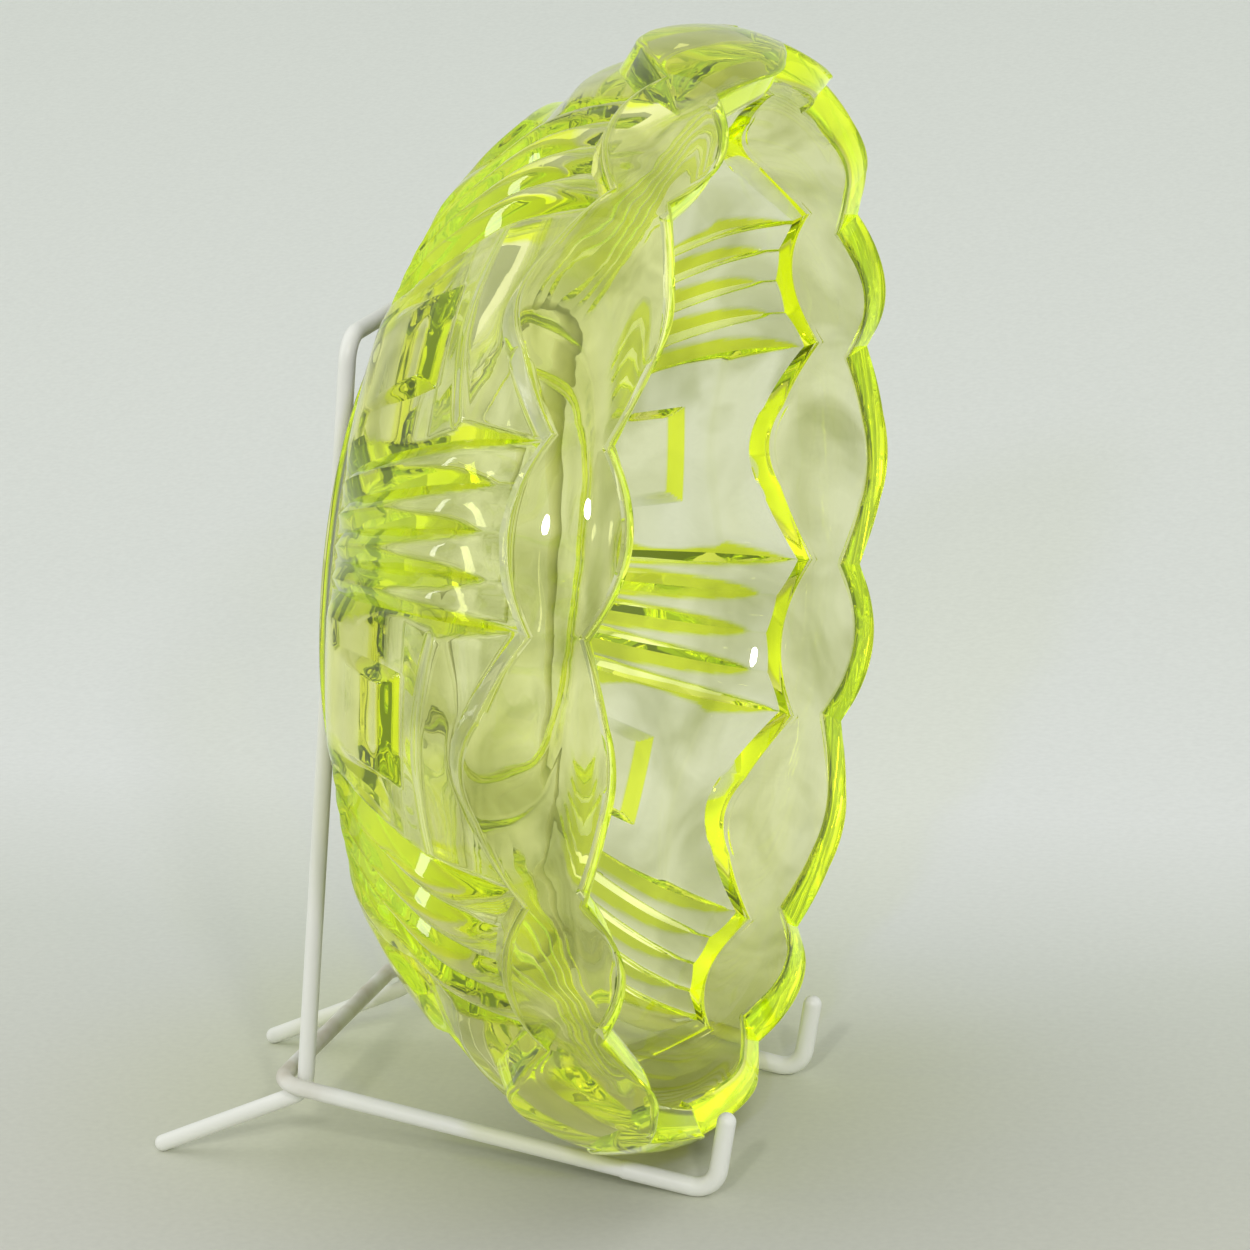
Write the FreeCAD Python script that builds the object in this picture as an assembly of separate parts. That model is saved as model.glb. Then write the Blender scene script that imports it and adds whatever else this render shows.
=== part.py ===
import FreeCAD, Part
import math
import os

os.makedirs("parts", exist_ok=True)

# Uranium glass dish on its two-piece wire plate stand.  Millimetres.
# Row frame: +X is the way the dish opens, +Z is up, the table is at z = 0, and the
# origin lies under the middle of the whole object's outline.
V = FreeCAD.Vector

# ---- where the dish sits ---------------------------------------------------------
SHIFT_X = 50.0          # puts the middle of the outline over the origin
DISH_HEIGHT = 105.8     # lip centre above the table
DISH_LEAN = 3.66        # degrees the dish nods forward
DISH_TURN = 2.85        # degrees the dish is turned in the stand about its own axis

# ---- rim band: large and small scallops in turn, eight of each ------------------------
PAIRS = 8
PERIOD = 360.0 / PAIRS
HALF_LARGE = 13.25      # half angle of a large scallop
HALF_SMALL = PERIOD / 2 - HALF_LARGE
LIP_R = 100.0           # lip's outer edge at a notch
LIP_RISE = 5.2          # a scallop's crest above the notches
BAND_LOW = -12.0        # band's lower edge at a notch
DROP_LARGE = 10.5       # how far the lower edge bellies down under each scallop
DROP_SMALL = 5.0
BAND_R = 104.9          # band's widest radius
BAND_WIDEST = -9.5
BAND_TOP = (96.4, 8.5)  # where the band's roll would end above the lip
BAND_END = (102.6, -28.0)
LIP_SLOPE = 0.48        # the lip falls inwards
LEDGE_SLOPE = 0.6       # bevel under the band
SLOPES_R = 103.0        # the lip's and ledge's heights are stated at this radius

# ---- bowl ----------------------------------------------------------------------
# outer mean surface, (radius, height) from under the band to the foot
CREST = ((101.0, -8.0), (100.2, -20.0), (96.9, -30.0), (89.3, -40.0),
         (79.3, -50.0), (68.5, -57.5), (57.0, -62.0))
RECESS = 1.6            # plain panels lie this far below the crest surface
BLOCK_HIGH = 0.8        # blocks stand this far above it
REED_HIGH = 0.45        # reeds' tops above it, and their shoulders below it
REED_SHOULDER = 0.25
GROOVE_LOW = 2.4        # mitre grooves' bottom below it
GROOVE_HALF = 1.75      # half width of a mitre groove at full depth
# share of the grooves' and the recesses' full depth at each level of CREST
GROOVE_SHARE = (0.15, 0.55, 0.9, 1.0, 0.9, 0.6, 0.2)
RECESS_SHARE = (1.0, 1.0, 1.0, 1.0, 0.7, 0.4, 0.2)
SIDE_SLOPE = 1.2        # rise over run of a plain panel's side down to its groove
FOOT_R = 51.5           # foot ring, outside and inside
FOOT_IN = 42.0
FOOT_Z = -65.5          # foot ring's flat
FOOT_RECESS = 2.0       # the middle of the underside is this much higher
FOOT_EASE = 0.6         # chamfer round the foot ring
FOOT_DRAFT = 1.5        # the recess narrows by this much
HEEL = 2.0              # the heel starts this far inside the bowl's last level
# inner surface, (radius, height) from above the lip to the flat floor
CAVITY = ((94.6, 9.0), (95.4, 0.0), (96.6, -5.0), (96.2, -14.0), (92.6, -25.0),
          (85.4, -35.0), (75.6, -44.5), (63.5, -52.5), (50.0, -57.4), (36.0, -59.2))
REEDS = 4
STEP_END = -29.2        # lower edge of the stepped layer on a plain panel
STEP_BELLY = 3.3
BLOCK_TOP = -38.5       # outer end of the block on a plain panel
BLOCK_HALF = 9.0
WALL_IN = 84.0          # layers and scallops reach this far into the wall
OUTSIDE = 112.0         # a radius beyond everything

# ---- stand ---------------------------------------------------------------------------
CORE_R = 1.18           # steel wire
BORE_R = 1.2            # inside of the plastic coat
COAT_R = 1.6            # outside of the plastic coat
HOOK_R = 1.8            # the coat is thicker around the hooks
BASE_HALF = 34.5        # half width of the base wire at its back corners
HOOK_HALF = 33.0        # half width at the hooks
BACK_HALF = 30.8        # half width of the back support
WIRE_BEND = 4.5         # centre-line radius of the wires' bends
# (x, z) of the wires' corners before rounding, x from the lip's centre
BAR = (-64.05, 54.15)   # top bar, its z above the dish's centre
JUNCTION = (-79.9, 14.2)  # where the support's uprights turn out into its feet
FOOT_TIP = (-109.4, 1.6)
CROSS = (-83.95, 17.05)  # base wire's back bar
BEND = (0.55, 1.05)     # under the hooks
HOOK_TIP = (3.2, 15.0)
HOOK_REACH = 0.2        # the thick coat covers this share of each arm


def polar(r, deg, z):
    a = math.radians(deg)
    return V(r * math.cos(a), r * math.sin(a), z)


def spline(points):
    curve = Part.BSplineCurve()
    curve.interpolate([V(r, 0, z) for r, z in points])
    return curve.toShape()


def crest_radius(z):
    for (r0, z0), (r1, z1) in zip(CREST, CREST[1:]):
        if z1 <= z <= z0:
            return r0 + (r1 - r0) * (z0 - z) / (z0 - z1)
    return CREST[-1][0]


def bowl_section(r, z, groove, plain):
    """One level of the bowl's outside: plain panels, and reeds parted by mitre grooves."""
    flat = r - RECESS * plain
    shoulder = r - REED_SHOULDER
    valley = r - REED_SHOULDER - (GROOVE_LOW - REED_SHOULDER) * groove
    gap = math.degrees(GROOVE_HALF * groove / r)
    dip = math.degrees(max(flat - valley, 0.05) / SIDE_SLOPE / r)
    w = 2 * HALF_SMALL / REEDS
    edges = []
    for k in range(PAIRS):
        c = k * PERIOD
        left = polar(valley, c - HALF_LARGE, z)
        a = polar(flat, c - HALF_LARGE + dip, z)
        b = polar(flat, c + HALF_LARGE - dip, z)
        last = polar(valley, c + HALF_LARGE, z)
        edges.append(Part.makeLine(left, a))
        edges.append(Part.Arc(a, polar(flat, c, z), b).toShape())
        edges.append(Part.makeLine(b, last))
        for j in range(REEDS):
            start = c + HALF_LARGE + j * w
            a = polar(shoulder, start + gap, z)
            m = polar(r + REED_HIGH, start + w / 2, z)
            b = polar(shoulder, start + w - gap, z)
            edges.append(Part.makeLine(last, a))
            edges.append(Part.Arc(a, m, b).toShape())
            last = polar(valley, start + w, z)
            edges.append(Part.makeLine(b, last))
    return Part.Wire(edges)


def revolve(edges):
    return Part.Face(Part.Wire(edges)).revolve(V(0, 0, 0), V(0, 0, 1), 360)


def line(a, b):
    return Part.makeLine(V(a[0], 0, a[1]), V(b[0], 0, b[1]))


def wedge(half, top, belly_top, low, belly_low, slope_top, slope_low, r_ref):
    """A radial block between two corner radii, its upper and lower edges both bowed."""
    wires = []
    for r in (WALL_IN, OUTSIDE):
        d = r * math.cos(math.radians(half))
        s = r * math.sin(math.radians(half))
        zt = top + (r - r_ref) * slope_top
        zl = low + (r - r_ref) * slope_low
        up = Part.Arc(V(d, -s, zt), V(d, 0, zt + belly_top), V(d, s, zt)).toShape()
        side = Part.makeLine(V(d, s, zt), V(d, s, zl))
        under = Part.Arc(V(d, s, zl), V(d, 0, zl - belly_low), V(d, -s, zl)).toShape()
        back = Part.makeLine(V(d, -s, zl), V(d, -s, zt))
        wires.append(Part.Wire([up, side, under, back]))
    return Part.makeLoft(wires, True, True)


def band_lens(half, drop):
    """One scallop of the rim band, rolled convex from the lip down to the ledge."""
    body = wedge(half, 0.0, LIP_RISE, BAND_LOW, drop, LIP_SLOPE, LEDGE_SLOPE, SLOPES_R)
    inner = WALL_IN + 4.0
    roll = Part.Arc(V(BAND_TOP[0], 0, BAND_TOP[1]), V(BAND_R, 0, BAND_WIDEST),
                    V(BAND_END[0], 0, BAND_END[1])).toShape()
    edges = [roll,
             line(BAND_END, (inner, BAND_END[1])),
             line((inner, BAND_END[1]), (inner, BAND_TOP[1])),
             line((inner, BAND_TOP[1]), BAND_TOP)]
    return body.common(revolve(edges))


def ring(outer, top, bottom, inner):
    """A revolved layer that follows the bowl's raised surface."""
    levels = [top]
    levels += [z for _, z in CREST if bottom < z < top]
    levels += [bottom]
    pts = [(outer + crest_radius(z), z) for z in levels]
    edges = [line(a, b) for a, b in zip(pts, pts[1:])]
    edges += [line(pts[-1], (inner, bottom)), line((inner, bottom), (inner, top)),
              line((inner, top), pts[0])]
    return revolve(edges)


def around(shape, centre):
    out = shape.copy()
    out.rotate(V(0, 0, 0), V(0, 0, 1), centre)
    return out


def dish():
    # bowl with its reeded and plain panels, lofted level by level
    levels = zip(CREST, GROOVE_SHARE, RECESS_SHARE)
    sections = [bowl_section(r, z, groove, plain) for (r, z), groove, plain in levels]
    body = Part.makeLoft(sections, True, True)
    # heel and foot ring
    r_end, z_end = CREST[-1]
    outline = [(0, z_end), (r_end - HEEL, z_end), (FOOT_R, FOOT_Z + FOOT_EASE),
               (FOOT_R - FOOT_EASE, FOOT_Z), (FOOT_IN, FOOT_Z),
               (FOOT_IN - FOOT_DRAFT, FOOT_Z + FOOT_RECESS), (0, FOOT_Z + FOOT_RECESS)]
    foot = revolve([line(a, b) for a, b in zip(outline, outline[1:] + outline[:1])])
    pieces = [foot]
    # stepped layer and block on each plain panel
    top = CREST[0][1] - 1.0
    layer = ring(0.0, top, STEP_END - 2 * STEP_BELLY, WALL_IN)
    step = wedge(HALF_LARGE, top, 0.0001, STEP_END, STEP_BELLY, 0.0, 0.0, LIP_R)
    step = layer.common(step)
    lower = ring(BLOCK_HIGH, BLOCK_TOP, z_end, FOOT_IN + 3.0)
    block = Part.makeBox(60, 2 * BLOCK_HALF, 30, V(FOOT_IN, -BLOCK_HALF, BLOCK_TOP - 30))
    block = lower.common(block)
    large = band_lens(HALF_LARGE, DROP_LARGE)
    small = band_lens(HALF_SMALL, DROP_SMALL)
    for k in range(PAIRS):
        c = k * PERIOD
        pieces.append(around(step, c))
        pieces.append(around(block, c))
        pieces.append(around(large, c))
        pieces.append(around(small, c + PERIOD / 2))
    solid = body.multiFuse(pieces)
    # smooth inside
    wall = spline(CAVITY)
    r_low, z_low = CAVITY[-1]
    z_open = CAVITY[0][1]
    cavity = revolve([wall, line((r_low, z_low), (0, z_low)), line((0, z_low), (0, z_open)),
                      line((0, z_open), CAVITY[0])])
    solid = solid.cut(cavity).removeSplitter()
    return solid.Solids[0]


def place_dish(shape):
    t = math.radians(DISH_LEAN)
    k = math.radians(DISH_TURN)
    z = V(math.cos(t), 0, -math.sin(t))
    up = V(math.sin(t), 0, math.cos(t))
    near = V(0, -1, 0)
    x = up * math.cos(k) + near * math.sin(k)
    y = z.cross(x)
    m = FreeCAD.Matrix(x.x, y.x, z.x, SHIFT_X, x.y, y.y, z.y, 0,
                       x.z, y.z, z.z, DISH_HEIGHT, 0, 0, 0, 1)
    out = shape.copy()
    out.Placement = FreeCAD.Placement(m)
    return out


def rounded(points, radius):
    """Centre line through the points with each corner rounded."""
    edges = []
    last = points[0]
    for p, q, n in zip(points, points[1:], points[2:]):
        a = (p - q).normalize()
        b = (n - q).normalize()
        half = a.getAngle(b) / 2
        reach = radius / math.tan(half)
        s = q + a * reach
        e = q + b * reach
        mid = (a + b).normalize()
        m = q + mid * (radius / math.sin(half) - radius)
        edges.append(Part.makeLine(last, s))
        edges.append(Part.Arc(s, m, e).toShape())
        last = e
    edges.append(Part.makeLine(last, points[-1]))
    return Part.Wire(edges)


def rod(path, radius):
    first = path.Edges[0]
    start = first.valueAt(first.FirstParameter)
    way = first.tangentAt(first.FirstParameter)
    circle = Part.Wire([Part.makeCircle(radius, start, way)])
    return path.makePipeShell([circle], True, True, 1)


def ball(p, radius):
    return Part.makeSphere(radius, p)


def at(x, y, z):
    return V(x + SHIFT_X, y, z)


def back_path():
    top = DISH_HEIGHT + BAR[1]
    pts = []
    for s in (-1, 1):
        side = [at(FOOT_TIP[0], s * BACK_HALF, FOOT_TIP[1]),
                at(JUNCTION[0], s * BACK_HALF, JUNCTION[1]),
                at(BAR[0], s * BACK_HALF, top)]
        pts += side if s < 0 else side[::-1]
    return pts


def base_path():
    pts = []
    for s in (-1, 1):
        side = [at(HOOK_TIP[0], s * HOOK_HALF, HOOK_TIP[1]),
                at(BEND[0], s * HOOK_HALF, BEND[1]),
                at(CROSS[0], s * BASE_HALF, CROSS[1])]
        pts += side if s < 0 else side[::-1]
    return pts


def wire_piece(points, name, sleeves=()):
    """One wire as a steel core in a plastic coat, with thicker sleeves where stated."""
    path = rounded(points, WIRE_BEND)
    core = rod(path, CORE_R)
    bore = rod(path, BORE_R)
    coat = rod(path, COAT_R)
    caps = []
    if not sleeves:
        caps = [ball(points[0], COAT_R), ball(points[-1], COAT_R)]
    for chain in sleeves:
        sleeve = rod(rounded(chain, WIRE_BEND), HOOK_R)
        caps += [sleeve, ball(chain[0], HOOK_R), ball(chain[-1], HOOK_R)]
    coat = coat.multiFuse(caps).cut(bore).removeSplitter().Solids[0]
    core.exportStep("parts/%s_core.step" % name)
    coat.exportStep("parts/%s_coat.step" % name)
    return core, coat


def build():
    glass = place_dish(dish())
    glass.exportStep("parts/glass_dish.step")
    back = wire_piece(back_path(), "back_support")
    pts = base_path()
    hooks = []
    for tip, bend, corner in (pts[:3], pts[:2:-1]):
        hooks.append([tip, bend, bend + (corner - bend) * HOOK_REACH])
    base = wire_piece(pts, "base", hooks)
    return {"glass_dish": [glass], "back": list(back), "base": list(base)}


shapes = build()
for name, group in shapes.items():
    for s in group:
        b = s.BoundBox
        print(name, s.ShapeType, s.isValid(), len(s.Solids), round(s.Volume, 1),
              [round(v, 2) for v in (b.XMin, b.XMax, b.YMin, b.YMax, b.ZMin, b.ZMax)])
glass = shapes["glass_dish"][0]
for g in ("back", "base"):
    print(g, "gap to dish", round(glass.distToShape(shapes[g][1])[0], 3))
print("back to base", round(shapes["back"][1].distToShape(shapes["base"][1])[0], 3))
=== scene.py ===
import bpy
import math
import numpy as np
from mathutils import Matrix, Vector, noise


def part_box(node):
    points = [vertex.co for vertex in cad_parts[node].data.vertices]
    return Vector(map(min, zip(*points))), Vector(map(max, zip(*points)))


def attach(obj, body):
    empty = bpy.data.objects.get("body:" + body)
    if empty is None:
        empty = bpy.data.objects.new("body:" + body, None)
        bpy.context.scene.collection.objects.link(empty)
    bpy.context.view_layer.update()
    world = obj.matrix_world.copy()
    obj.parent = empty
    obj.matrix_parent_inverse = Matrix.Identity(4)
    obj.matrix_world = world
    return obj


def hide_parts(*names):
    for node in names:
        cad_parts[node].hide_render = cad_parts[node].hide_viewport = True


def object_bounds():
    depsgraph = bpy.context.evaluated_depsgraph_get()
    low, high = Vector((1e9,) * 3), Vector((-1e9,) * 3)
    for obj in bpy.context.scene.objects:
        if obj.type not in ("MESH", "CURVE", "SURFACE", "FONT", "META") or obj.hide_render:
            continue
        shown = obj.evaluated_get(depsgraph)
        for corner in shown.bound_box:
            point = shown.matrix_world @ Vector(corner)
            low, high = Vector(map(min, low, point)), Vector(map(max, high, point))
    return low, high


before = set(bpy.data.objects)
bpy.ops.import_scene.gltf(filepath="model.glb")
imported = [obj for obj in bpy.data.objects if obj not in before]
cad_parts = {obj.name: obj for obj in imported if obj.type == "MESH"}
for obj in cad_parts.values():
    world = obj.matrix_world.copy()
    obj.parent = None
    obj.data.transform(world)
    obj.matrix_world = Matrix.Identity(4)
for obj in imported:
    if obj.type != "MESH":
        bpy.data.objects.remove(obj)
CAD_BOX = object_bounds()
MM = 0.001

# ---- dish dimensions, in millimetres -------------------------------------------------
LEAN, TURN = math.radians(3.66), math.radians(2.85)
PAIRS, PERIOD = 8, 45.0                  # a plain panel and a reeded panel make a pair, in degrees
HALF_L = 13.25                           # half of a plain panel, in degrees
HALF_S = PERIOD / 2 - HALF_L             # half of a reeded panel, in degrees
REEDS = 4
# the rim: a lip that falls inwards, and a convex band under it, as circle points (radius, height)
LIP_R, LIP_RISE = 100.0, 5.2
LIP_OUT, LIP_EASE = 1.3, 0.75
BAND_LOW, DROP_L, DROP_S = -12.0, 10.5, 5.0
ROLL = ((96.4, 8.5), (104.9, -9.5), (102.6, -28.0))
LIP_SLOPE, LEDGE_SLOPE, EDGE_REF = 0.48, 0.6, 103.0
LEDGE_ROUND, LEDGE_ROUND_TALL = 1.0, 1.3
# the bowl's mean outer surface, the foot and the inner surface, as (radius, height)
CREST = ((101.0, -8.0), (100.2, -20.0), (96.9, -30.0), (89.3, -40.0),
         (79.3, -50.0), (68.5, -57.5), (57.0, -62.0))
RELIEF = 1.3                             # how far the outside falls below CREST at the foot
FOOT_R, FOOT_IN, FOOT_Z, FOOT_RECESS = 51.5, 42.0, -65.5, 2.0
CAVITY = ((94.6, 9.0), (95.4, 0.0), (96.6, -5.0), (96.2, -14.0), (92.6, -25.0),
          (85.4, -35.0), (75.6, -44.5), (63.5, -52.5), (50.0, -57.4), (36.0, -59.2))
FLOOR_TOP = -59.4                        # middle of the bowl's floor
FLOOR = ((46.0, -58.2), (41.0, -58.85), (36.0, -59.2), (30.0, -59.35), (22.0, FLOOR_TOP),
         (14.0, FLOOR_TOP), (6.0, FLOOR_TOP), (1.0, FLOOR_TOP))
# heights are measured square to the bowl's mean surface
STEP_AT_LEDGE, STEP_AT_EDGE = -0.6, 0.1
RECESS_HIGH, RECESS_LOW = -0.7, -1.5
BLOCK_HIGH, BLOCK_FILL = 0.9, 14.0       # below its top the recess fills up to the block's face
REED_HIGH, REED_CROWN = 0.45, 0.7
GROOVE_LOW = -2.0        # bottom of the mitre grooves beside and between the reeds
GROOVE_SLOPE = math.tan(math.radians(37))
GROOVE_RUN, GROOVE_EASE = 15.0, 0.22     # height to the full depth, and rounding of the edges
GAP_BESIDE, GAP_BETWEEN = 0.3, 2.6       # from the ledge down to the grooves' upper ends
STEP_END, STEP_BELLY, STEP_EASE = -29.2, 3.3, 1.2
BLOCK_TOP, BLOCK_HALF = -38.5, 9.0
BEVEL_ABOVE, BEVEL_TALL = 1.6, 4.6       # the block's top bevel
WALL_OUT, WALL_WIDE = 0.56, 0.12         # the block's side bevels, as shares of half a panel
FADE_Z, FADE_TALL = -63.0, 6.0           # the relief fades out down to the foot
# painted glow: how strongly the edges of the glass glow and take a lime tint, from 0 to 1
GROOVE_GLOW, BEVEL_GLOW, WALL_GLOW = 0.7, 0.8, 0.5
LEDGE_GLOW, LIP_OUTER_GLOW, LIP_INNER_GLOW = 0.05, 0.6, 0.3


# ---- helpers for profiles ---------------------------------------------------------------
def smooth(t):
    """0 to 1 with flat ends."""
    t = np.clip(t, 0.0, 1.0)
    return t * t * (3.0 - 2.0 * t)


def curve_through(points, z):
    """Radius at height z on a smooth curve through (radius, height) points."""
    zs = np.array([p[1] for p in points][::-1])
    rs = np.array([p[0] for p in points][::-1])
    n = len(zs)
    h = np.diff(zs)
    d = np.diff(rs) / h
    m = np.empty(n)
    m[0], m[-1] = d[0], d[-1]
    m[1:-1] = (d[:-1] * h[1:] + d[1:] * h[:-1]) / (h[:-1] + h[1:])
    z = np.asarray(z, dtype=float)
    i = np.clip(np.searchsorted(zs, z) - 1, 0, n - 2)
    t = (z - zs[i]) / h[i]
    t2, t3 = t * t, t * t * t
    return ((2 * t3 - 3 * t2 + 1) * rs[i] + (t3 - 2 * t2 + t) * h[i] * m[i]
            + (3 * t2 - 2 * t3) * rs[i + 1] + (t3 - t2) * h[i] * m[i + 1])


def circle_through(a, b, c):
    """Centre and radius of the circle through three points."""
    (ax, ay), (bx, by), (cx, cy) = a, b, c
    d = 2 * (ax * (by - cy) + bx * (cy - ay) + cx * (ay - by))
    a2, b2, c2 = ax * ax + ay * ay, bx * bx + by * by, cx * cx + cy * cy
    ux = (a2 * (by - cy) + b2 * (cy - ay) + c2 * (ay - by)) / d
    uy = (a2 * (cx - bx) + b2 * (ax - cx) + c2 * (bx - ax)) / d
    return ux, uy, math.hypot(ax - ux, ay - uy)


ROLL_R, ROLL_Z, ROLL_RAD = circle_through(*ROLL)


def roll_radius(z):
    """Radius of the rolled band at height z."""
    return ROLL_R + np.sqrt(ROLL_RAD ** 2 - (z - ROLL_Z) ** 2)


# ---- columns of the dish mesh: a plain panel, then four reeds, eight times ------------------
def column_table():
    """For each column: panel centre, is it plain, position across its panel, reed phase."""
    side = [-1.0, -0.985, -0.97, -0.95, -0.93, -0.91, -0.89, -0.86, -0.78, -0.69, -0.61]
    wall = [-0.57, -0.56, -0.545, -0.52, -0.5, -0.48, -0.455, -0.44, -0.425]
    top = list(np.linspace(-0.38, 0.38, 16))
    plain = side + wall + top + [-u for u in wall[::-1]] + [-u for u in side[:0:-1]]
    reed = [0.5 - 0.5 * math.cos(math.pi * i / 18) for i in range(18)]
    rows = []
    for k in range(PAIRS):
        for u in plain:
            rows.append((k * PERIOD, 1.0, u, 0.0))
        for j in range(REEDS):
            for v in reed:
                rows.append(((k + 0.5) * PERIOD, 0.0, -1.0 + 2.0 * (j + v) / REEDS, v))
    return np.array(rows)


COL = column_table()
CENTRE, PLAIN, ACROSS, PHASE = COL.T
IS_PLAIN = PLAIN > 0.5
BOW = 1.0 - ACROSS ** 2


def angles(r):
    """Column angles at radius r, with the block's sides kept parallel on the plain panels."""
    r = np.maximum(r, 45.0)
    b = np.degrees(np.arcsin(np.minimum(BLOCK_HALF / r, 0.16)))
    a = np.abs(ACROSS)
    inner = a / 0.5 * b
    outer = b + (a - 0.5) / 0.5 * (HALF_L - b)
    plain = np.sign(ACROSS) * np.where(a <= 0.5, inner, outer)
    return CENTRE + np.where(IS_PLAIN, plain, ACROSS * HALF_S)


LEDGE = BAND_LOW - np.where(IS_PLAIN, DROP_L, DROP_S) * BOW
LIP = LIP_RISE * BOW
STEP = STEP_END - np.where(IS_PLAIN, STEP_BELLY * BOW, 0.0)


def soft_min(a, b, k):
    """The smaller of a and b, rounded over k where they meet."""
    mix = np.clip(0.5 + 0.5 * (a - b) / k, 0.0, 1.0)
    return a * (1 - mix) + b * mix - k * mix * (1 - mix)


def body_radius(z):
    """Outer radius and painted glow weight at height z per column, with steps, blocks and reeds.
    """
    crest = curve_through(CREST, z)
    tilt = (curve_through(CREST, z + 0.2) - curve_through(CREST, z - 0.2)) / 0.4
    square = np.sqrt(1.0 + np.clip(tilt, 0.0, 1.5) ** 2)
    a = np.abs(ACROSS)
    ledge = LEDGE + (crest - RELIEF - EDGE_REF) * LEDGE_SLOPE
    below = ledge - z
    # plain panel: a layer that thickens down to its bowed edge, a recess, and a block
    along = np.clip(below / np.maximum(ledge - STEP, 1.0), 0.0, 1.0)
    layer = STEP_AT_LEDGE + (STEP_AT_EDGE - STEP_AT_LEDGE) * along
    fill = smooth((BLOCK_TOP - 2.0 - z) / BLOCK_FILL)
    cove = np.clip((STEP - z) / (STEP - BLOCK_TOP - BEVEL_ABOVE), 0.0, 1.0)
    recess = RECESS_HIGH + (RECESS_LOW - RECESS_HIGH) * cove
    floor = recess + (BLOCK_HIGH - recess) * fill
    plain = floor + (layer - floor) * smooth((z - (STEP - STEP_EASE)) / (2 * STEP_EASE))
    wall = np.clip((WALL_OUT - a) / WALL_WIDE, 0.0, 1.0)
    top = np.clip((BLOCK_TOP + BEVEL_ABOVE - z) / BEVEL_TALL, 0.0, 1.0)
    ramp = np.minimum(wall, top)
    block = floor + (BLOCK_HIGH - floor) * smooth(0.12 + 0.76 * ramp) * (ramp > 0)
    plain = np.maximum(plain, block)
    # reeds, crowned across
    pitch = crest * math.radians(2 * HALF_S / REEDS)
    reed = REED_HIGH - REED_CROWN * (2.0 * PHASE - 1.0) ** 2
    height = np.where(IS_PLAIN, plain, reed)
    # mitre grooves, running out to a point below the ledge
    far_plain = (1.0 - a) * crest * math.radians(HALF_L)
    far_reed = np.minimum(PHASE, 1.0 - PHASE) * pitch
    distance = np.where(IS_PLAIN, far_plain, far_reed)
    gap = np.where(IS_PLAIN | (a > 0.75), GAP_BESIDE, GAP_BETWEEN)
    run = np.sqrt(np.clip((below - gap) / GROOVE_RUN, 0.0, 1.0))
    shallow = REED_HIGH - REED_CROWN
    groove = shallow + (GROOVE_LOW - shallow) * run + distance * GROOVE_SLOPE
    surface = height
    height = soft_min(groove, height, GROOVE_EASE)
    fade = smooth((z - FADE_Z) / FADE_TALL)
    radius = crest + (height * fade - RELIEF * (1 - fade)) * (1.0 + (square - 1.0) * fade)
    # painted glow: weights for the lime tint and emission painted into the grooves and onto the
    # block's bevels
    glow_in_groove = GROOVE_GLOW * np.clip((surface - height) / 0.25, 0.0, 1.0)
    glow_beside = WALL_GLOW * np.clip(1.0 - (BLOCK_TOP - z) / 7.0, 0.0, 1.0)
    glow_on_slope = np.where(top < wall, BEVEL_GLOW, glow_beside)
    glow_on_bevel = np.where(IS_PLAIN & (ramp > 0.02) & (ramp < 0.98), glow_on_slope, 0.0)
    return radius, np.maximum(glow_in_groove, glow_on_bevel) * fade


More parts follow.
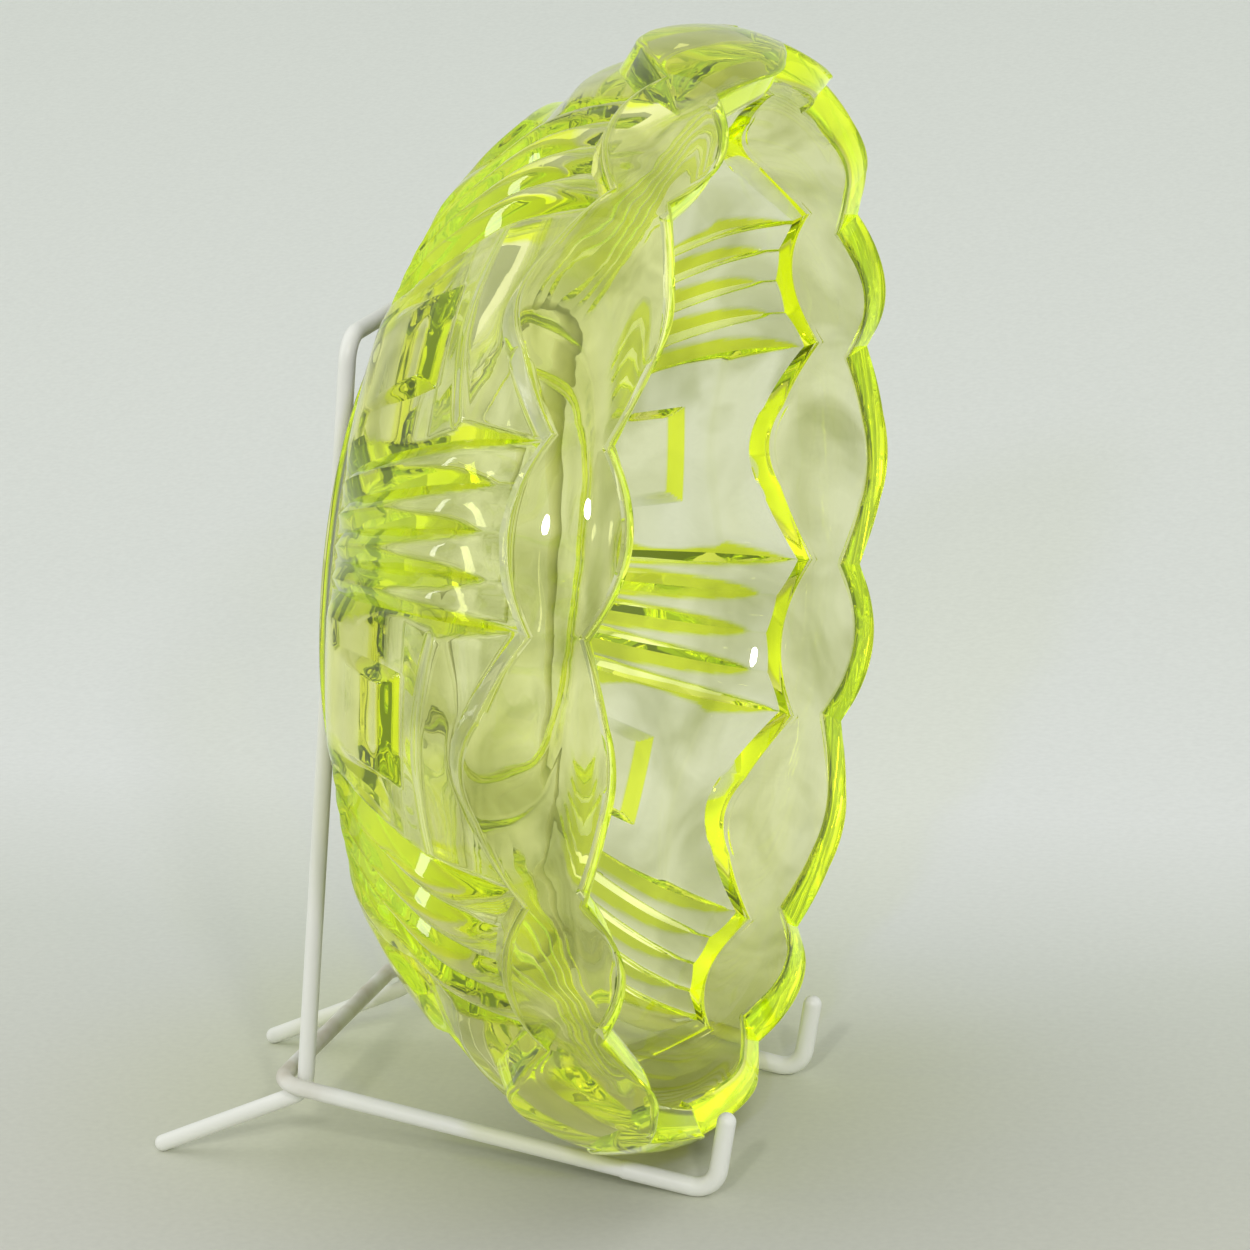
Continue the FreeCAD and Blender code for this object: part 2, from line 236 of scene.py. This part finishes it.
def dish_rows():
    """Rings of (radius, height, painted glow weight), from under the foot round to the bowl's
    middle.
    """
    one = np.ones(len(COL))
    rows = []

    def flat(r, z):
        rows.append((r * one, z * one, 0.0 * one))

    def outside(z):
        r, edge = body_radius(z)
        rows.append((r, z, edge))

    # underside and foot ring
    top = FOOT_Z + FOOT_RECESS
    for r in (1.0, 6.0, 14.0, 22.0, 30.0, 36.0, 39.0):
        flat(r, top)
    for dr, z in ((-2.0, top), (-1.5, top - 0.15), (-0.4, FOOT_Z + 0.35), (0.0, FOOT_Z + 0.1),
                  (0.6, FOOT_Z), (2.0, FOOT_Z), (5.0, FOOT_Z)):
        flat(FOOT_IN + dr, z)
    for dr, dz in ((-1.3, 0.0), (-0.6, 0.1), (-0.2, 0.4), (0.1, 0.9), (1.1, 1.8), (2.7, 2.8)):
        flat(FOOT_R + dr, FOOT_Z + dz)
    # bowl below the blocks' tops
    for z in np.linspace(CREST[-1][1], BLOCK_TOP - BEVEL_ABOVE, 34):
        outside(z * one)
    for d in (-1.2, -0.8, -0.4, 0.0, 0.4, 0.8, 1.2, 1.55):
        outside((BLOCK_TOP + d) * one)
    # recess between block and step, its upper edge bowed
    for f in (0.12, 0.3, 0.5, 0.7, 0.88):
        outside(BLOCK_TOP + BEVEL_ABOVE + (STEP - BLOCK_TOP - 2.9) * f)
    for d in (-1.2, -0.8, -0.4, 0.0, 0.4, 0.8, 1.15):
        outside(STEP + d)
    # stepped layer up to the ledge
    foot = LEDGE + (CREST[1][0] - RELIEF - EDGE_REF) * LEDGE_SLOPE
    for f in (0.12, 0.26, 0.4, 0.52, 0.64, 0.75, 0.84, 0.91, 0.96, 0.99):
        outside(STEP + STEP_EASE + (foot - STEP - STEP_EASE) * f)
    # ledge, from the bowl out to the band, with a faint painted glow
    r_in = body_radius(foot - 0.05)[0]
    r_out = roll_radius(LEDGE)
    for f in (0.04, 0.12, 0.3, 0.5, 0.7, 0.85):
        r = r_in + (r_out - LEDGE_ROUND - r_in) * f
        rows.append((r, LEDGE + (r - EDGE_REF) * LEDGE_SLOPE, LEDGE_GLOW * one))
    for a in (10, 25, 40, 55, 70, 82):
        s = math.radians(a)
        r = r_out - LEDGE_ROUND + LEDGE_ROUND * math.sin(s)
        rise = LEDGE_ROUND_TALL * (1 - math.cos(s))
        rows.append((r, LEDGE + (r_out - LEDGE_ROUND - EDGE_REF) * LEDGE_SLOPE + rise, 0.0 * one))
    # rolled band
    z_low = rows[-1][1] + 0.3
    z_high = LIP + (LIP_R + LIP_OUT - EDGE_REF) * LIP_SLOPE - LIP_EASE
    for f in np.linspace(0.0, 1.0, 26):
        z = z_low + (z_high - z_low) * f
        rows.append((roll_radius(z), z, 0.0 * one))
    # lip, falling inwards, both edges eased, with painted glow on its edges and full painted glow
    # across its top
    r_out = roll_radius(z_high)
    for a in (20, 45, 70):
        s = math.radians(a)
        r = r_out - 0.7 * (1 - math.cos(s)) - 0.1 * math.sin(s)
        rows.append((r, z_high + LIP_EASE * math.sin(s) * 0.9, LIP_OUTER_GLOW * one))
    r_in = curve_through(CAVITY, np.zeros(len(COL)) + LIP)
    a_r = rows[-1][0]
    for f in (0.1, 0.25, 0.42, 0.58, 0.74, 0.88):
        r = a_r + (r_in + 0.8 - a_r) * f
        rows.append((r, LIP + (r - EDGE_REF) * LIP_SLOPE + 0.02, one))
    z_in = LIP + (r_in + 0.5 - EDGE_REF) * LIP_SLOPE
    for dr, dz in ((0.62, 0.0), (0.34, -0.1), (0.12, -0.32), (0.02, -0.6)):
        rows.append((r_in + dr, z_in + dz, LIP_INNER_GLOW * one))
    # inside
    z_start = z_in - 1.0
    z_stop = CAVITY[-2][1]
    for f in np.linspace(0.0, 1.0, 56):
        z = z_start + (z_stop - z_start) * f
        rows.append((curve_through(CAVITY, z), z, 0.0 * one))
    for r, z in FLOOR:
        flat(r, z)
    return rows


def build_dish():
    """The dish as one closed mesh, with the painted glow weights as a mesh attribute."""
    rows = dish_rows()
    n = len(COL)
    ring = []
    for r, z, _ in rows:
        th = np.radians(angles(r))
        ring.append(np.stack([r * np.cos(th), r * np.sin(th), z], 1))
    pts = np.concatenate(ring)
    m = len(rows)
    # slow waves that pressed and fire-polished glass has
    out = np.empty(len(pts))
    for i, p in enumerate(pts):
        v = Vector(p)
        out[i] = 0.055 * noise.noise(v / 13.0) + 0.022 * noise.noise(v / 5.5 + Vector((9, 3, 5)))
    radial = pts.copy()
    radial[:, 2] *= 0.8
    length = np.linalg.norm(radial, axis=1)
    pts += radial / length[:, None] * out[:, None]
    # dish frame to row frame
    z_ax = Vector((math.cos(LEAN), 0.0, -math.sin(LEAN)))
    up = Vector((math.sin(LEAN), 0.0, math.cos(LEAN)))
    x_ax = up * math.cos(TURN) + Vector((0.0, -1.0, 0.0)) * math.sin(TURN)
    y_ax = z_ax.cross(x_ax)
    rot = np.array([x_ax, y_ax, z_ax]) * MM
    pts = pts @ rot
    lo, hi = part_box("glass_dish")
    middle = (np.array(lo) + np.array(hi)) / 2
    pts += middle - (pts.min(0) + pts.max(0)) / 2
    faces = []
    for i in range(m - 1):
        a, b = i * n, (i + 1) * n
        for j in range(n):
            k = (j + 1) % n
            faces.append((a + j, a + k, b + k, b + j))
    verts = pts.tolist()
    for i, z_first in ((0, True), (m - 1, False)):
        c = pts[i * n:(i + 1) * n].mean(0)
        verts.append(c.tolist())
        last = len(verts) - 1
        for j in range(n):
            k = (j + 1) % n
            a, b = i * n + j, i * n + k
            faces.append((last, b, a) if z_first else (last, a, b))
    mesh = bpy.data.meshes.new("dish_glass")
    mesh.from_pydata(verts, [], faces)
    mesh.validate()
    mesh.update()
    mesh.shade_smooth()
    mesh.set_sharp_from_angle(angle=math.radians(32))
    # painted glow weights, which the glass material turns into a lime tint and emission
    glow = mesh.attributes.new("edge", "FLOAT", "POINT")
    glow_weights = np.concatenate([w for _, _, w in rows] + [np.zeros(2)])
    glow.data.foreach_set("value", glow_weights.astype(np.float32))
    obj = bpy.data.objects.new("dish_glass", mesh)
    bpy.context.scene.collection.objects.link(obj)
    return obj


# ---- materials ----------------------------------------------------------------------------
# painted glow: the lime tint and emission painted on the glass, strongest at its edges
GLASS_CLEAR, EDGE_GLOW_LIME = (1.0, 1.0, 1.0, 1.0), (0.80, 0.94, 0.005, 1.0)
GLASS_GLOW, GLOW_LOW, GLOW_HIGH, GLOW_POWER = (0.50, 0.70, 0.01, 1.0), 0.015, 0.50, 4.0
GLASS_INSIDE, GLASS_DENSITY = (0.982, 0.992, 0.08, 1.0), 50.0
# painted light and shade patches in the glass's colour
PATCH_SHADE, PATCH_LIGHT = (0.64, 0.66, 0.48), (1.0, 1.0, 0.96)
SHADOW_FACING, SHADOW_EDGE = (0.99, 1.0, 0.58, 1.0), (0.72, 0.75, 0.14, 1.0)
COAT_DARK, COAT_LIGHT, COAT_STAIN = (0.82, 0.83, 0.78), (0.89, 0.90, 0.87), (0.46, 0.40, 0.27, 1.0)
STEEL_GREY = (0.55, 0.56, 0.57, 1)


def new_material(name):
    """A material with a Principled shader: material, node tree, shader and output node."""
    mat = bpy.data.materials.new(name)
    mat.use_nodes = True
    nt = mat.node_tree
    nt.nodes.clear()
    out = nt.nodes.new("ShaderNodeOutputMaterial")
    bsdf = nt.nodes.new("ShaderNodeBsdfPrincipled")
    nt.links.new(bsdf.outputs["BSDF"], out.inputs["Surface"])
    return mat, nt, bsdf, out


def node(nt, kind, **values):
    """A new node. A key with a leading underscore is a property, and any other is an input."""
    n = nt.nodes.new(kind)
    for key, value in values.items():
        if key.startswith("_"):
            setattr(n, key[1:], value)
        else:
            n.inputs[key.replace("_", " ")].default_value = value
    return n


def noise_texture(nt, coord, **values):
    """Noise in the object's own coordinates."""
    texture = node(nt, "ShaderNodeTexNoise", **values)
    nt.links.new(coord.outputs["Object"], texture.inputs["Vector"])
    return texture.outputs["Fac"]


def map_range(nt, value, **values):
    mapping = node(nt, "ShaderNodeMapRange", **values)
    nt.links.new(value, mapping.inputs["Value"])
    return mapping.outputs["Result"]


def mix_colour(nt, factor, a, b, blend="MIX"):
    """A colour mix, where factor, a and b are each a socket or a plain value."""
    mix = node(nt, "ShaderNodeMix", _data_type="RGBA", _blend_type=blend)
    for index, value in ((0, factor), (6, a), (7, b)):
        if isinstance(value, bpy.types.NodeSocket):
            nt.links.new(value, mix.inputs[index])
        else:
            mix.inputs[index].default_value = value
    return mix.outputs[2]


def colour_ramp(nt, value, stops):
    """A colour ramp through (position, colour) stops."""
    ramp = node(nt, "ShaderNodeValToRGB")
    elements = ramp.color_ramp.elements
    while len(elements) < len(stops):
        elements.new(0.5)
    for element, (position, colour) in zip(elements, stops):
        element.position = position
        element.color = (*colour, 1)
    nt.links.new(value, ramp.inputs["Fac"])
    return ramp.outputs["Color"]


def add_bump(nt, bsdf, height, strength, distance):
    bump = node(nt, "ShaderNodeBump", Strength=strength, Distance=distance)
    nt.links.new(height, bump.inputs["Height"])
    nt.links.new(bump.outputs["Normal"], bsdf.inputs["Normal"])


def glass_material():
    mat, nt, bsdf, out = new_material("uranium_glass")
    bsdf.inputs["Transmission Weight"].default_value = 1.0
    bsdf.inputs["Roughness"].default_value = 0.0
    bsdf.inputs["IOR"].default_value = 1.51
    bsdf.inputs["Emission Color"].default_value = GLASS_GLOW
    # painted glow: a lime tint and emission painted on the lips, grooves and bevels, and a faint
    # glow over all the glass, stand in for light trapped in the glass
    edge = node(nt, "ShaderNodeAttribute", _attribute_name="edge").outputs["Fac"]
    glow_share = map_range(nt, edge, From_Max=GROOVE_GLOW)
    glow_tint = mix_colour(nt, glow_share, GLASS_CLEAR, EDGE_GLOW_LIME)
    # painted light and shade: slow patches that darken and clear the glass's colour, for caustics
    # and shadows seen through it
    coord = node(nt, "ShaderNodeTexCoord")
    patch_noise = noise_texture(nt, coord, Scale=38.0, Detail=2.0, Roughness=0.45, Distortion=1.4)
    light_and_shade = colour_ramp(nt, patch_noise, ((0.34, PATCH_SHADE), (0.54, PATCH_LIGHT)))
    both = mix_colour(nt, 1.0, glow_tint, light_and_shade, "MULTIPLY")
    nt.links.new(both, bsdf.inputs["Base Color"])
    power = node(nt, "ShaderNodeMath", _operation="POWER")
    power.inputs[1].default_value = GLOW_POWER
    nt.links.new(edge, power.inputs[0])
    glow = map_range(nt, power.outputs["Value"], To_Min=GLOW_LOW, To_Max=GLOW_HIGH)
    nt.links.new(glow, bsdf.inputs["Emission Strength"])
    # faint drag lines and dimples left by the mould
    waves = noise_texture(nt, coord, Scale=60.0, Detail=1.0, Roughness=0.4, Distortion=0.6)
    add_bump(nt, bsdf, waves, 0.12, 0.0006)
    # the glass throws a tinted shadow, denser where it's seen edge on
    path = node(nt, "ShaderNodeLightPath")
    facing = node(nt, "ShaderNodeLayerWeight", Blend=0.5).outputs["Facing"]
    clear = node(nt, "ShaderNodeBsdfTransparent")
    nt.links.new(mix_colour(nt, facing, SHADOW_FACING, SHADOW_EDGE), clear.inputs["Color"])
    mix = node(nt, "ShaderNodeMixShader")
    nt.links.new(path.outputs["Is Shadow Ray"], mix.inputs["Fac"])
    nt.links.new(bsdf.outputs["BSDF"], mix.inputs[1])
    nt.links.new(clear.outputs["BSDF"], mix.inputs[2])
    nt.links.new(mix.outputs["Shader"], out.inputs["Surface"])
    absorb = node(nt, "ShaderNodeVolumeAbsorption", Color=GLASS_INSIDE, Density=GLASS_DENSITY)
    nt.links.new(absorb.outputs["Volume"], out.inputs["Volume"])
    return mat


def coat_material(name, aged):
    """White plastic, yellowed along the back end of the object where aged is true."""
    mat, nt, bsdf, _ = new_material(name)
    bsdf.inputs["Roughness"].default_value = 0.36
    bsdf.inputs["Specular IOR Level"].default_value = 0.45
    coord = node(nt, "ShaderNodeTexCoord")
    tone = noise_texture(nt, coord, Scale=45.0, Detail=4.0, Roughness=0.55)
    colour = colour_ramp(nt, tone, ((0.0, COAT_DARK), (1.0, COAT_LIGHT)))
    if aged:
        split = node(nt, "ShaderNodeSeparateXYZ")
        nt.links.new(coord.outputs["Generated"], split.inputs["Vector"])
        back = map_range(nt, split.outputs["X"], From_Min=0.16, From_Max=0.01)
        patch = noise_texture(nt, coord, Scale=70.0, Detail=3.0, Roughness=0.6)
        patch_range = map_range(nt, patch, From_Min=0.35, From_Max=0.70)
        amount = node(nt, "ShaderNodeMath", _operation="MULTIPLY")
        nt.links.new(back, amount.inputs[0])
        nt.links.new(patch_range, amount.inputs[1])
        colour = mix_colour(nt, amount.outputs["Value"], colour, COAT_STAIN)
    nt.links.new(colour, bsdf.inputs["Base Color"])
    add_bump(nt, bsdf, noise_texture(nt, coord, Scale=900.0, Detail=2.0), 0.15, 0.0002)
    return mat


def steel_material():
    mat, nt, bsdf, _ = new_material("steel_wire")
    bsdf.inputs["Base Color"].default_value = STEEL_GREY
    bsdf.inputs["Metallic"].default_value = 1.0
    bsdf.inputs["Roughness"].default_value = 0.35
    coord = node(nt, "ShaderNodeTexCoord")
    add_bump(nt, bsdf, noise_texture(nt, coord, Scale=600.0, Detail=2.0), 0.1, 0.0002)
    return mat


# ---- the object ----------------------------------------------------------------------------
dish = build_dish()
dish.data.materials.append(glass_material())
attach(dish, "dish")
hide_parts("glass_dish")

steel = steel_material()
for name, coat in (("base_coat", coat_material("white_coat_aged", True)),
                   ("back_support_coat", coat_material("white_coat", False))):
    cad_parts[name].data.materials.clear()
    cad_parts[name].data.materials.append(coat)
for name in ("base_core", "back_support_core"):
    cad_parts[name].data.materials.clear()
    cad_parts[name].data.materials.append(steel)


# ---- floor, light, camera ---------------------------------------------------------------------
BACKDROP_HALF = 15.0
FLOOR_Y = (-4.0, -1.5, -0.6, -0.2, 0.1, 0.2)
# painted shade and light: backdrop colours from front to back, darker and yellower at the front
# and brightest where the floor starts to curve up, over the stretch of Y in metres below
BACKDROP_SHADE_Y = (-0.35, 0.75)
BACKDROP_SHADE = ((0.0, (0.60, 0.605, 0.545)), (0.26, (0.645, 0.65, 0.60)), (0.41, (0.685, 0.71, 0.67)),
         (0.51, (0.80, 0.82, 0.81)), (0.65, (0.775, 0.80, 0.775)), (1.0, (0.79, 0.82, 0.785)))
# painted light: a yellow pool on the floor round where the dish stands
LIGHT_POOL, LIGHT_POOL_AT, LIGHT_POOL_NEAR, LIGHT_POOL_FAR = (0.99, 1.0, 0.82, 1.0), (0.0, 0.02, 0.0), 0.03, 0.12
LAMP_DISTANCE = 1.5
LAMP_WHITE, SIDE_WHITE = (1.0, 0.99, 0.96), (1.0, 1.0, 0.97)
SIDE_WIDE, SIDE_TALL = 0.14, 0.8
WALL_WHITE, WALL_DIM, WALL_BRIGHT = (0.985, 1.0, 0.965, 1), 0.46, 0.955
CAM_AZ, CAM_EL, CAM_ROLL, CAM_DIST = 16.51, 14.73, -1.866, 0.87582
CAM_LENS, CAM_SENSOR = 135.87, 36.0
TARGET = Vector((0.02920, -0.00727, 0.10178))


def backdrop_profile():
    """(y, z) points of a level floor that curves up into a wall."""
    profile = [(y, 0.0) for y in FLOOR_Y]
    slope, z, y = 0.0, 0.0, FLOOR_Y[-1]
    for _ in range(24):
        slope = min(0.22, slope + 0.022)
        y += 0.03
        z += slope * 0.03
        profile.append((y, z))
    for _ in range(30):
        slope = min(6.0, slope * 1.16)
        step = 0.1 / math.hypot(1, slope)
        y += step
        z += slope * step
        profile.append((y, z))
    return profile


def backdrop_material():
    mat, nt, bsdf, _ = new_material("backdrop")
    coord = node(nt, "ShaderNodeTexCoord")
    split = node(nt, "ShaderNodeSeparateXYZ")
    nt.links.new(coord.outputs["Object"], split.inputs["Vector"])
    # painted shade: the backdrop darkens towards the front
    span = map_range(nt, split.outputs["Y"], From_Min=BACKDROP_SHADE_Y[0], From_Max=BACKDROP_SHADE_Y[1])
    tone = colour_ramp(nt, span, BACKDROP_SHADE)
    # fine cloth grain
    grain = noise_texture(nt, coord, Scale=620.0, Detail=1.0)
    grain_range = map_range(nt, grain, To_Min=0.95, To_Max=1.05)
    grain_and_shade = mix_colour(nt, 1.0, tone, grain_range, "MULTIPLY")
    # painted light: a yellow pool painted round where the dish stands, for the light that comes
    # down through the glass
    away = node(nt, "ShaderNodeVectorMath", _operation="DISTANCE")
    away.inputs[1].default_value = LIGHT_POOL_AT
    nt.links.new(coord.outputs["Object"], away.inputs[0])
    near = map_range(nt, away.outputs["Value"], _interpolation_type="SMOOTHSTEP",
                     From_Min=LIGHT_POOL_FAR, From_Max=LIGHT_POOL_NEAR)
    painted_pool = mix_colour(nt, near, grain_and_shade, LIGHT_POOL, "MULTIPLY")
    nt.links.new(painted_pool, bsdf.inputs["Base Color"])
    bsdf.inputs["Roughness"].default_value = 0.85
    bsdf.inputs["Specular IOR Level"].default_value = 0.15
    return mat


def backdrop():
    profile = backdrop_profile()
    verts = [(x, y, z) for x in (-BACKDROP_HALF, BACKDROP_HALF) for y, z in profile]
    n = len(profile)
    faces = [(i, n + i, n + i + 1, i + 1) for i in range(n - 1)]
    mesh = bpy.data.meshes.new("backdrop")
    mesh.from_pydata(verts, [], faces)
    mesh.shade_smooth()
    mesh.materials.append(backdrop_material())
    obj = bpy.data.objects.new("backdrop", mesh)
    bpy.context.scene.collection.objects.link(obj)


def area(name, direction, size, power, colour, shape="DISK"):
    """A lamp that faces the object's middle from a direction."""
    data = bpy.data.lights.new(name, "AREA")
    data.shape = shape
    data.size = size
    data.energy = power
    data.color = colour
    obj = bpy.data.objects.new(name, data)
    bpy.context.scene.collection.objects.link(obj)
    d = Vector(direction).normalized()
    centre = (Vector(CAD_BOX[0]) + Vector(CAD_BOX[1])) / 2
    obj.location = centre + d * LAMP_DISTANCE
    obj.rotation_mode = "QUATERNION"
    obj.rotation_quaternion = d.to_track_quat("Z", "Y")
    return obj


def surroundings():
    """Pale studio walls, dim on the side that the front faces."""
    world = bpy.data.worlds.new("World")
    world.use_nodes = True
    nt = world.node_tree
    sky = nt.nodes["Background"]
    where = node(nt, "ShaderNodeTexCoord")
    split = node(nt, "ShaderNodeSeparateXYZ")
    nt.links.new(where.outputs["Generated"], split.inputs["Vector"])
    fade = map_range(nt, split.outputs["Y"], _interpolation_type="SMOOTHSTEP",
                     From_Min=-0.95, From_Max=0.15, To_Min=WALL_DIM, To_Max=WALL_BRIGHT)
    nt.links.new(fade, sky.inputs["Strength"])
    sky.inputs["Color"].default_value = WALL_WHITE
    return world


def camera():
    data = bpy.data.cameras.new("Camera")
    data.sensor_width = CAM_SENSOR
    data.lens = CAM_LENS
    data.clip_start = 0.05
    data.clip_end = 50.0
    obj = bpy.data.objects.new("Camera", data)
    bpy.context.scene.collection.objects.link(obj)
    az, el = math.radians(CAM_AZ), math.radians(CAM_EL)
    away = Vector((math.sin(az) * math.cos(el), -math.cos(az) * math.cos(el), math.sin(el)))
    obj.location = TARGET + away * CAM_DIST
    look = (-away).to_track_quat("-Z", "Y").to_matrix().to_4x4()
    roll = Matrix.Rotation(math.radians(CAM_ROLL), 4, "Z")
    obj.rotation_mode = "QUATERNION"
    obj.rotation_quaternion = (look @ roll).to_quaternion()
    return obj


backdrop()
area("lamp_left", (0.079, -0.897, 0.434), 0.10, 4.0, LAMP_WHITE)
area("lamp_right", (0.423, -0.795, 0.434), 0.10, 4.0, LAMP_WHITE)
side = area("lamp_side", (-0.93, -0.26, 0.24), SIDE_WIDE, 2.2, SIDE_WHITE, "RECTANGLE")
side.data.size_y = SIDE_TALL

scene = bpy.context.scene
scene.world = surroundings()
scene.camera = camera()
scene.view_settings.view_transform = "Standard"
scene.view_settings.look = "None"
scene.cycles.use_denoising = True
scene.cycles.max_bounces = 24
scene.cycles.transmission_bounces = 24
scene.cycles.glossy_bounces = 8
scene.cycles.blur_glossy = 0.3
scene.cycles.caustics_refractive = False
scene.cycles.sample_clamp_indirect = 6.0
